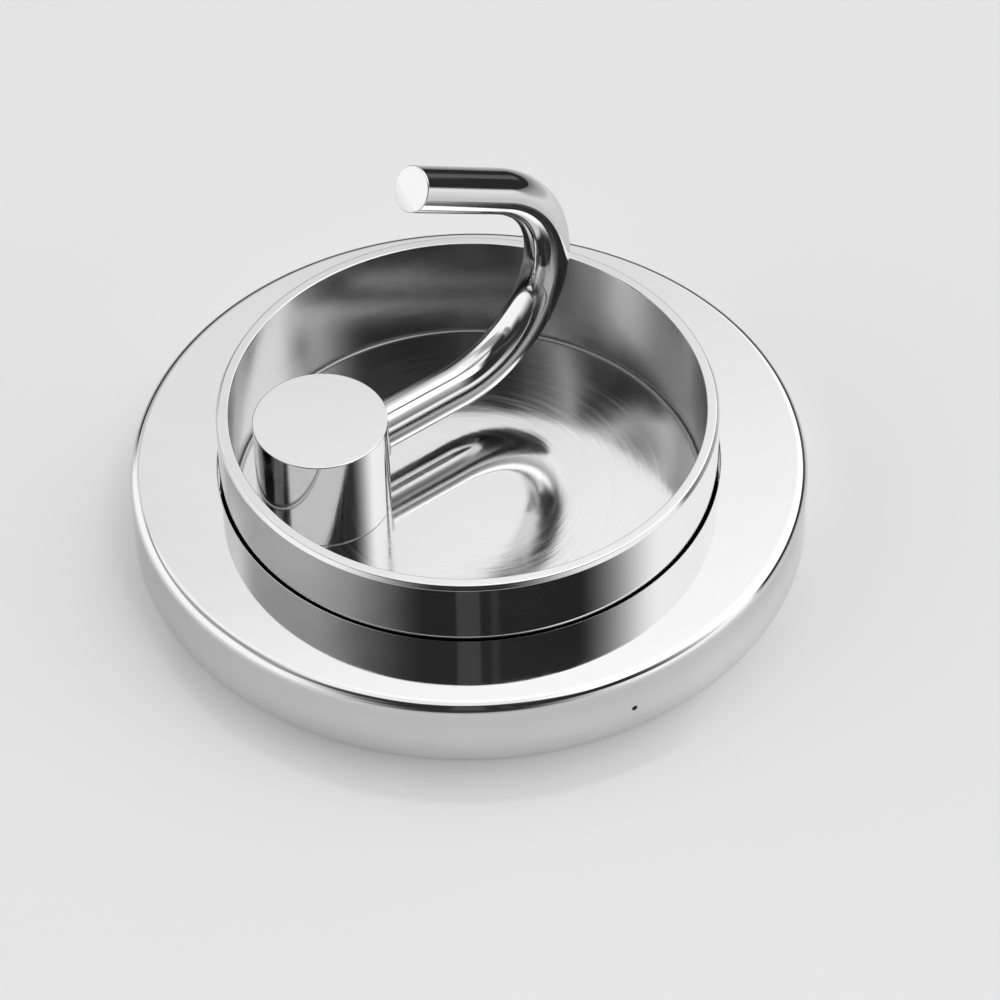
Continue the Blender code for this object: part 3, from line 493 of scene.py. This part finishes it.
def cup_finish_and_painted_shade(material):
    """Turning rings on the cup's floor, a duller inner wall, and the dull corner between them, with
    painted shade that darkens the colour of the wall and of the corner.
    """
    tree = material.node_tree
    shader = tree.nodes["Principled BSDF"]
    colour, dullness, normal = (
        shader.inputs[name].links[0].from_socket for name in ("Base Color", "Roughness", "Normal")
    )
    place_parts = add_node(tree, "ShaderNodeSeparateXYZ", Vector=surface_coords(tree))
    x, y, height = (place_parts.outputs[i] for i in range(3))
    flat = add_node(tree, "ShaderNodeCombineXYZ", X=x, Y=y)
    radius = add_node(tree, "ShaderNodeVectorMath", {"operation": "LENGTH"}, _0=flat.outputs[0])
    radius = radius.outputs["Value"]

    on_floor = times(
        tree,
        falling(tree, height, *FLOOR_FINISH_TOP),
        falling(tree, radius, *FLOOR_FINISH_EDGE),
    )
    in_corner = times(
        tree,
        falling(tree, height, *CORNER_FINISH_TOP),
        rising(tree, radius, *CORNER_FINISH_START),
    )
    on_wall = times(
        tree,
        rising(tree, height, *CORNER_FINISH_TOP),
        falling(tree, radius, *WALL_FINISH_BACK),
    )
    on_wall = times(tree, on_wall, falling(tree, height, *WALL_FINISH_TOP))

    wander = times(tree, arithmetic(tree, "ARCTAN2", y, x), GROOVE_WANDER)
    ring_place = add_node(tree, "ShaderNodeCombineXYZ", X=radius, Y=wander).outputs[0]
    rings = noise(tree, ring_place, GROOVE_FINE, detail=4.0, roughness=0.6)
    wide_rings = noise(tree, ring_place, GROOVE_WIDE, detail=2.0)
    ring_strength = times(
        tree,
        remap(tree, radius, *GROOVES_FULL_FROM, GROOVES_AT_CENTRE, 1.0, smooth=True),
        remap(tree, radius, *GROOVES_FULL_UP_TO, 1.0, GROOVES_AT_WALL, smooth=True),
    )
    ring_dullness = times(tree, remap(tree, rings, 0.3, 0.7, *GROOVE_DULLNESS), ring_strength)
    dullness = blend_values(tree, on_floor, dullness, plus(tree, FLOOR_DULLNESS, ring_dullness))
    dullness = plus(tree, dullness, times(tree, in_corner, CORNER_DULLNESS))
    dullness = plus(tree, dullness, times(tree, on_wall, WALL_DULLNESS))
    tree.links.new(dullness, shader.inputs["Roughness"])

    # Painted shade: the colour is darkened on the inner wall, and more so in the corner at the floor
    colour = blend_colours(tree, times(tree, on_wall, WALL_PAINTED_SHADE_SHARE), colour, grey(WALL_PAINTED_SHADE))
    colour = blend_colours(tree, times(tree, in_corner, CORNER_PAINTED_SHADE_SHARE), colour, grey(CORNER_PAINTED_SHADE))
    tree.links.new(colour, shader.inputs["Base Color"])

    grooves = times(tree, times(tree, plus(tree, rings, wide_rings), on_floor), ring_strength)
    tree.links.new(bump(tree, grooves, GROOVE_DEPTH, normal), shader.inputs["Normal"])


cup_chrome = chrome("cup_chrome", CUP_TONE, gloss=(0.03, 0.07), ripple=0.00001)
cup_finish_and_painted_shade(cup_chrome)
place(cup, "wall_mount", "chrome_cup", cup_chrome, "hook_cup")


# Screws behind the cup
# Pan-head screws of stainless steel: three through the cup's ears into the rosette, and two up
# through the floor into the post. They show from behind only.

STAINLESS_DARK = (0.42, 0.42, 0.43)
STAINLESS_LIGHT = (0.60, 0.60, 0.61)

stainless = satin_metal(
    "stainless_steel", STAINLESS_DARK, STAINLESS_LIGHT, gloss=(0.22, 0.36), grain=3500.0
)
for number in (1, 2, 3):
    dress(f"cup_clamp_screw_{number}", stainless)
for number in (1, 2):
    dress(f"post_screw_{number}", stainless)


# Grub screw in the rosette's side
# A grub screw of M4 in stainless steel, with a hex socket in its outer end. It sits in the side
# that faces the ground, and locks the rosette to the plate.

GRUB_RADIUS = 0.0020
GRUB_OUTER_END = 0.0435
GRUB_INNER_END = 0.0395
GRUB_EDGE_ROUND = 0.0002
GRUB_POINT_ROUND = 0.0005
GRUB_SOCKET = 0.00115
GRUB_SOCKET_FOOT = 0.0417

grub_outline = rounded([
    (0, GRUB_OUTER_END, 0),
    (GRUB_RADIUS, GRUB_OUTER_END, GRUB_EDGE_ROUND),
    (GRUB_RADIUS, GRUB_INNER_END, GRUB_POINT_ROUND),
    (0, GRUB_INNER_END, 0),
])
grub = turned("grub_screw", grub_outline, steps=48)
grub.data.transform(Matrix.Translation(grub_spot) @ lying_along(HOOK_AZIMUTH))
carve(grub, cylinder(
    GRUB_SOCKET, GRUB_SOCKET_FOOT, GRUB_OUTER_END + CUT_OVER, grub_spot, steps=6, along=HOOK_AZIMUTH
))
polish_shading(grub)
place(grub, "wall_mount", "screw_steel", stainless, "flange_grub_screw")


# Post
# A plain round post turned from brass and chrome plated. It stands on the cup's floor, off the
# centre, and a cross hole holds the hook's pivot.

POST_RADIUS = 0.00875
POST_TOP = 0.0172
POST_FOOT = FLOOR_TOP + 0.00002
POST_TOP_ROUND = 0.00015
POST_FOOT_ROUND = 0.00012
SPIGOT_RADIUS = 0.0036
SPIGOT_END = 0.0006
PIVOT_LEVEL = 0.0101
PIVOT = Vector((POST_SPOT.x, 0, PIVOT_LEVEL))
ALONG = around(HOOK_AZIMUTH)
JOURNAL_BORE = 0.0028
JOURNAL_BORE_START = -0.0072
BUSH_BORE = 0.0039
BUSH_BORE_START = 0.0010
MOUTH_BORE = 0.0044
MOUTH_BORE_START = 0.00725
BORE_END = 0.0110
PAD_HOLE = 0.0018
PAD_OUT = -0.0009
STOP_HOLE = 0.00155
STOP_OUT = -0.0051
POST_SCREW_TOP = 0.0098
POST_TONE = 0.765

post_outline = rounded([
    (0, POST_TOP, 0),
    (POST_RADIUS, POST_TOP, POST_TOP_ROUND),
    (POST_RADIUS, POST_FOOT, POST_FOOT_ROUND),
    (SPIGOT_RADIUS, POST_FOOT, 0),
    (SPIGOT_RADIUS, SPIGOT_END, FOOT_ROUND),
    (0, SPIGOT_END, 0),
], steps=5)
post = turned("post", post_outline, steps=192)
post.data.transform(Matrix.Translation(POST_SPOT))
for radius, start in (
    (JOURNAL_BORE, JOURNAL_BORE_START),
    (BUSH_BORE, BUSH_BORE_START),
    (MOUTH_BORE, MOUTH_BORE_START),
):
    carve(post, cylinder(radius, start, BORE_END, PIVOT, steps=96, along=HOOK_AZIMUTH))
carve(post, cylinder(PAD_HOLE, -CUT_OVER, PIVOT_LEVEL, POST_SPOT + PAD_OUT * ALONG))
carve(post, cylinder(STOP_HOLE, FLOOR_TOP - CUT_OVER, PIVOT_LEVEL, POST_SPOT + STOP_OUT * ALONG))
for spot in POST_SCREW_SPOTS:
    carve(post, cylinder(POST_SCREW_HOLE, FLOOR_TOP - CUT_OVER, POST_SCREW_TOP, spot))
polish_shading(post)
post_chrome = chrome("post_chrome", POST_TONE, gloss=(0.03, 0.06), ripple=0.000006)
place(post, "wall_mount", "chrome_rosette", post_chrome, "pivot_post")


# Bush
# A flanged bush moulded from white acetal and pressed into the post's cross hole. The hook's
# journal turns in it.

BUSH_RADIUS = 0.0036
BUSH_COLLAR_RADIUS = 0.0041
BUSH_INNER_END = 0.0030
BUSH_COLLAR_FOOT = 0.00755
BUSH_OUTER_END = 0.00815
BUSH_BORE_ROUND = 0.0001
BUSH_COLLAR_ROUND = 0.00015


def moulded(name, dark, light, cloud_scale, gloss, grain, grain_detail, grain_depth):
    """Plastic or rubber from a mould: uneven in tone, with a fine grain."""
    made, shader = new_material(name)
    tree = made.node_tree
    coords = surface_coords(tree)
    clouds = noise(tree, coords, cloud_scale)
    tree.links.new(blend_colours(tree, clouds, (*dark, 1), (*light, 1)), shader.inputs["Base Color"])
    tree.links.new(remap(tree, clouds, 0.3, 0.7, *gloss), shader.inputs["Roughness"])
    fine = noise(tree, coords, grain, grain_detail)
    tree.links.new(bump(tree, fine, grain_depth), shader.inputs["Normal"])
    return made


acetal = moulded(
    "white_acetal", dark=(0.74, 0.74, 0.71), light=(0.86, 0.86, 0.84), cloud_scale=400.0,
    gloss=(0.35, 0.5), grain=5000.0, grain_detail=2.0, grain_depth=0.00002,
)

bush_outline = rounded([
    (JOURNAL_BORE, BUSH_OUTER_END, BUSH_BORE_ROUND),
    (BUSH_COLLAR_RADIUS, BUSH_OUTER_END, BUSH_COLLAR_ROUND),
    (BUSH_COLLAR_RADIUS, BUSH_COLLAR_FOOT, 0),
    (BUSH_RADIUS, BUSH_COLLAR_FOOT, 0),
    (BUSH_RADIUS, BUSH_INNER_END, BUSH_BORE_ROUND),
    (JOURNAL_BORE, BUSH_INNER_END, 0),
], steps=4)
bush = turned("bush", bush_outline, steps=96)
bush.data.transform(Matrix.Translation(PIVOT) @ lying_along(HOOK_AZIMUTH))
polish_shading(bush)
place(bush, "wall_mount", "white_acetal", acetal, "pivot_bush")


# Hook
# One round rod of 6 mm, cut flat at its free end, bent once and chrome plated. Its root is turned
# down to a journal, which runs in the bush, with a groove for the seal ring and a stop slot.

ROD_RADIUS = 0.0030
JOURNAL_RADIUS = 0.0025
JOURNAL_END = -0.0069
JOURNAL_END_ROUND = 0.00025
SEAL_GROOVE_RADIUS = 0.0020
SEAL_GROOVE_START = 0.0012
SEAL_GROOVE_END = 0.0027
SHOULDER = 0.00845
SHOULDER_ROUND = 0.0002
LEG_LENGTH = 0.02102
BEND_RADIUS = 0.01619
BEND_ANGLE = math.radians(150)
TIP_LENGTH = 0.01547
TIP_ROUND = 0.00018
FOLD = math.radians(90)
STOP_SLOT_HALF = 0.0010
STOP_SLOT_FLOOR = 0.0016
STOP_SLOT_STEPS = 24
BEND_STEPS = 120
ROD_SIDES = 96
ROD_TONE = 0.75


def rod_stations():
    """Places along the rod's middle line: how far out, how high, which way it points, and its radius."""
    root = rounded([
        (0, JOURNAL_END, 0),
        (JOURNAL_RADIUS, JOURNAL_END, JOURNAL_END_ROUND),
        (JOURNAL_RADIUS, SEAL_GROOVE_START, 0),
        (SEAL_GROOVE_RADIUS, SEAL_GROOVE_START, 0),
        (SEAL_GROOVE_RADIUS, SEAL_GROOVE_END, 0),
        (JOURNAL_RADIUS, SEAL_GROOVE_END, 0),
        (JOURNAL_RADIUS, SHOULDER, 0),
        (ROD_RADIUS, SHOULDER, SHOULDER_ROUND),
        (ROD_RADIUS, LEG_LENGTH, 0),
    ], steps=4)
    for radius, out in root[:-1]:
        yield out, 0.0, 0.0, radius
    for i in range(BEND_STEPS + 1):
        turn = BEND_ANGLE * i / BEND_STEPS
        out = LEG_LENGTH + BEND_RADIUS * math.sin(turn)
        yield out, BEND_RADIUS * (1 - math.cos(turn)), turn, ROD_RADIUS
    end_out = LEG_LENGTH + BEND_RADIUS * math.sin(BEND_ANGLE)
    end_high = BEND_RADIUS * (1 - math.cos(BEND_ANGLE))
    tip = rounded([
        (ROD_RADIUS, 0, 0),
        (ROD_RADIUS, TIP_LENGTH, TIP_ROUND),
        (0, TIP_LENGTH, 0),
    ], steps=5)
    for radius, far in tip[1:]:
        out = end_out + far * math.cos(BEND_ANGLE)
        high = end_high + far * math.sin(BEND_ANGLE)
        yield out, high, BEND_ANGLE, radius


def swept_rod(name, stations):
    """A closed rod through the stations, whose round section always lies square to its line."""
    bm = bmesh.new()
    rings = []
    for out, high, turn, radius in stations:
        middle = Vector((out, 0, high))
        if radius < POINT_MERGE:
            rings.append([bm.verts.new(middle)] * ROD_SIDES)
            continue
        side = Vector((0, 1, 0))
        upward = Vector((-math.sin(turn), 0, math.cos(turn)))
        ring = []
        for i in range(ROD_SIDES):
            a = math.tau * i / ROD_SIDES
            ring.append(bm.verts.new(middle + radius * (math.cos(a) * side + math.sin(a) * upward)))
        rings.append(ring)
    join_rings(bm, zip(rings, rings[1:]))
    return object_from(name, bm)


def stop_slot():
    """A cutter for the slot round part of the journal, in which the stop screw's point stands."""
    room = math.asin(STOP_SLOT_HALF / ((JOURNAL_RADIUS + STOP_SLOT_FLOOR) / 2))
    turns = [room - (FOLD + 2 * room) * i / STOP_SLOT_STEPS for i in range(STOP_SLOT_STEPS + 1)]
    section = (
        (STOP_OUT - STOP_SLOT_HALF, STOP_SLOT_FLOOR),
        (STOP_OUT + STOP_SLOT_HALF, STOP_SLOT_FLOOR),
        (STOP_OUT + STOP_SLOT_HALF, ROD_RADIUS),
        (STOP_OUT - STOP_SLOT_HALF, ROD_RADIUS),
    )
    bm = bmesh.new()
    rings = []
    for a in turns:
        ring = [(out, radius * math.sin(a), -radius * math.cos(a)) for out, radius in section]
        rings.append([bm.verts.new(corner) for corner in ring])
    join_rings(bm, zip(rings, rings[1:]))
    for end in (rings[0], rings[-1]):
        bm.faces.new(end)
    bmesh.ops.recalc_face_normals(bm, faces=bm.faces)
    return object_from("tool", bm)


hook = swept_rod("hook", rod_stations())
carve(hook, stop_slot())
hook.data.transform(Matrix.Translation(PIVOT) @ Matrix.Rotation(HOOK_AZIMUTH, 4, "Z"))
polish_shading(hook)
rod_chrome = chrome("rod_chrome", ROD_TONE, gloss=(0.03, 0.06), ripple=0.000006)
place(hook, "hook", "chrome_rod", rod_chrome, "hook_arm")


# Small parts of the pivot
# Rubber ring in the journal's groove, stop screw and friction pad from below, and the wound
# spring and plug under the pad. They sit inside the post.

SPRING_DARK = (0.30, 0.30, 0.31)
SPRING_LIGHT = (0.46, 0.46, 0.48)

rubber = moulded(
    "black_rubber", dark=(0.02, 0.02, 0.02), light=(0.04, 0.04, 0.04), cloud_scale=600.0,
    gloss=(0.65, 0.85), grain=6000.0, grain_detail=3.0, grain_depth=0.00003,
)
nylon = moulded(
    "black_nylon", dark=(0.03, 0.03, 0.03), light=(0.07, 0.07, 0.07), cloud_scale=600.0,
    gloss=(0.45, 0.6), grain=4000.0, grain_detail=3.0, grain_depth=0.00003,
)
spring_steel = satin_metal(
    "spring_steel", SPRING_DARK, SPRING_LIGHT, gloss=(0.25, 0.4), grain=5000.0
)
dress("pivot_seal_ring", rubber)
dress("friction_pad", nylon)
dress("pad_spring", spring_steel)
dress("stop_screw", stainless)
dress("spring_plug", stainless)


# Table
# A pale glossy table top, as of lacquered board, that runs out of the picture. Its tone and its
# gloss are faintly uneven.

TABLE_REACH = 3.0
TABLE_TONES = (0.822, 0.836)
TABLE_CLOUDS = 6.0
TABLE_GLOSS = (0.08, 0.12)
TABLE_SMEARS = 40.0

table_mesh = bmesh.new()
bmesh.ops.create_grid(table_mesh, x_segments=8, y_segments=8, size=TABLE_REACH)
table = object_from("table", table_mesh)
table_look, table_shader = new_material("pale_table")
table_tree = table_look.node_tree
table_coords = surface_coords(table_tree)
table_clouds = noise(table_tree, table_coords, TABLE_CLOUDS)
table_tone = blend_colours(table_tree, table_clouds, *(grey(tone) for tone in TABLE_TONES))
table_tree.links.new(table_tone, table_shader.inputs["Base Color"])
table_smears = noise(table_tree, table_coords, TABLE_SMEARS)
table_gloss = remap(table_tree, table_smears, 0.3, 0.7, *TABLE_GLOSS)
table_tree.links.new(table_gloss, table_shader.inputs["Roughness"])
table.data.materials.append(table_look)


# Light
# Soft white light from all round, brightest from the right and above, with a dark opening on the
# camera's side and a dark strip low behind. Chrome shows nothing else, so each panel counts.

CLEAR_LEVEL = 1.2

# Each panel: its brightness, and then in degrees its azimuths, how soft its two sides are, its
# heights, and how soft its lower and upper edges are. Each one covers those before it
PANELS = (
    # Left of the object: grey high up, bright low down, and a dark strip between
    (0.42, (150, 240), (30, 30), (48.5, 59), (7, 12)),
    (1.25, (135, 210), (12, 35), (-90, 39), (1, 8)),
    (0.32, (118, 160), (12, 25), (40, 44), (3, 2)),
    # Behind it: soft grey, darker low down, with a light strip
    (0.78, (60, 118), (15, 14), (18, 41), (6, 8)),
    (0.4, (72, 112), (20, 12), (-90, 20), (1, 16)),
    (0.98, (95, 112), (7, 8), (40, 46), (3, 3)),
    # Right of it: the large soft light
    (1.65, (8, 50), (38, 50), (20, 90), (5, 1)),
    # The camera's side: a grey strip, and the dark opening that the camera stands in
    (0.38, (-158, -130), (16, 12), (40, 44), (3, 2)),
    (0.03, (-113, -42), (40, 50), (26, 56), (8, 10)),
    (0.04, (-140, -80), (35, 40), (50, 66), (6, 8)),
    # Above: the light over the right side
    (2.2, (-38, 75), (24, 30), (58, 90), (8, 1)),
    # The dark opening again: its foot, and two narrow lines of light in it
    (0.04, (-105, -81), (48, 45), (-90, 30), (1, 10)),
    (0.09, (-98.5, -89), (1.2, 1.2), (30, 56), (12, 6)),
    (0.06, (-82.5, -80.5), (1.5, 1.5), (30, 56), (12, 6)),
    # Low behind, on the right: a dark strip with a faint patch
    (0.03, (5, 125), (8, 10), (-90, 14), (1, 5)),
    (0.14, (40, 48), (6, 8), (9, 14), (4, 4)),
    # Straight above: a calmer patch, so that flat chrome seen from above doesn't turn white
    (1.1, (-180, 180), (1, 1), (80, 90), (8, 1)),
)

world = bpy.data.worlds.new("studio")
bpy.context.scene.world = world
world.use_nodes = True
sky = world.node_tree
sky_way = add_node(sky, "ShaderNodeTexCoord").outputs["Generated"]
sky_parts = add_node(sky, "ShaderNodeSeparateXYZ", Vector=sky_way)
sky_height = times(sky, arithmetic(sky, "ARCSINE", sky_parts.outputs["Z"]), 180 / math.pi)


def panel(under, level, azimuths, side_softness, heights, edge_softness):
    """One panel of the surroundings laid over what is under it."""
    centre = math.radians(sum(azimuths) / 2)
    half = (azimuths[1] - azimuths[0]) / 2
    ahead = add_node(
        sky, "ShaderNodeVectorMath", {"operation": "DOT_PRODUCT"},
        _0=sky_way, _1=(math.cos(centre), math.sin(centre), 0),
    )
    aside = add_node(
        sky, "ShaderNodeVectorMath", {"operation": "DOT_PRODUCT"},
        _0=sky_way, _1=(-math.sin(centre), math.cos(centre), 0),
    )
    turn = arithmetic(sky, "ARCTAN2", aside.outputs["Value"], ahead.outputs["Value"])
    turn = times(sky, turn, 180 / math.pi)
    bands = []
    for value, low, high, soft in (
        (turn, -half, half, side_softness),
        (sky_height, *heights, edge_softness),
    ):
        opens = remap(sky, value, low - soft[0], low, 0.0, 1.0, smooth=True)
        closes = remap(sky, value, high, high + soft[1], 1.0, 0.0, smooth=True)
        bands.append(times(sky, opens, closes))
    return blend_values(sky, times(sky, *bands), under, level)


studio = CLEAR_LEVEL
for measures in PANELS:
    studio = panel(studio, *measures)
sky.links.new(studio, sky.nodes["Background"].inputs["Color"])


# Camera
# It stands in front and above, at the photo's angle. Its place is worked out in the photo's pixels,
# each of which is VIEW_UNIT wide at the part.

VIEW_TURN = math.radians(-2.26)
VIEW_TILT = math.radians(45.50)
VIEW_ROLL = math.radians(0.99)
VIEW_UNIT = 0.00012985
VIEW_DISTANCE_PIXELS = 4419.7
VIEW_SHIFT_PIXELS = (30.45, -44.48)
PICTURE_PIXELS = 1000
SENSOR_WIDTH_MM = 36

lens = bpy.data.cameras.new("camera")
camera = bpy.data.objects.new("camera", lens)
bpy.context.scene.collection.objects.link(camera)
view_turn = Matrix.Rotation(VIEW_TURN, 4, "Z") @ Matrix.Rotation(math.pi / 2 - VIEW_TILT, 4, "X")
stand_off = Vector((*VIEW_SHIFT_PIXELS, VIEW_DISTANCE_PIXELS)) * VIEW_UNIT
eye = Vector((0, 0, ROSETTE_HEIGHT)) + view_turn.to_3x3() @ stand_off
camera.matrix_world = Matrix.Translation(eye) @ view_turn @ Matrix.Rotation(-VIEW_ROLL, 4, "Z")
lens.sensor_width = SENSOR_WIDTH_MM
lens.lens = SENSOR_WIDTH_MM * VIEW_DISTANCE_PIXELS / PICTURE_PIXELS
lens.clip_start = 0.01
lens.clip_end = 20
bpy.context.scene.camera = camera
bpy.context.scene.view_settings.view_transform = "Standard"
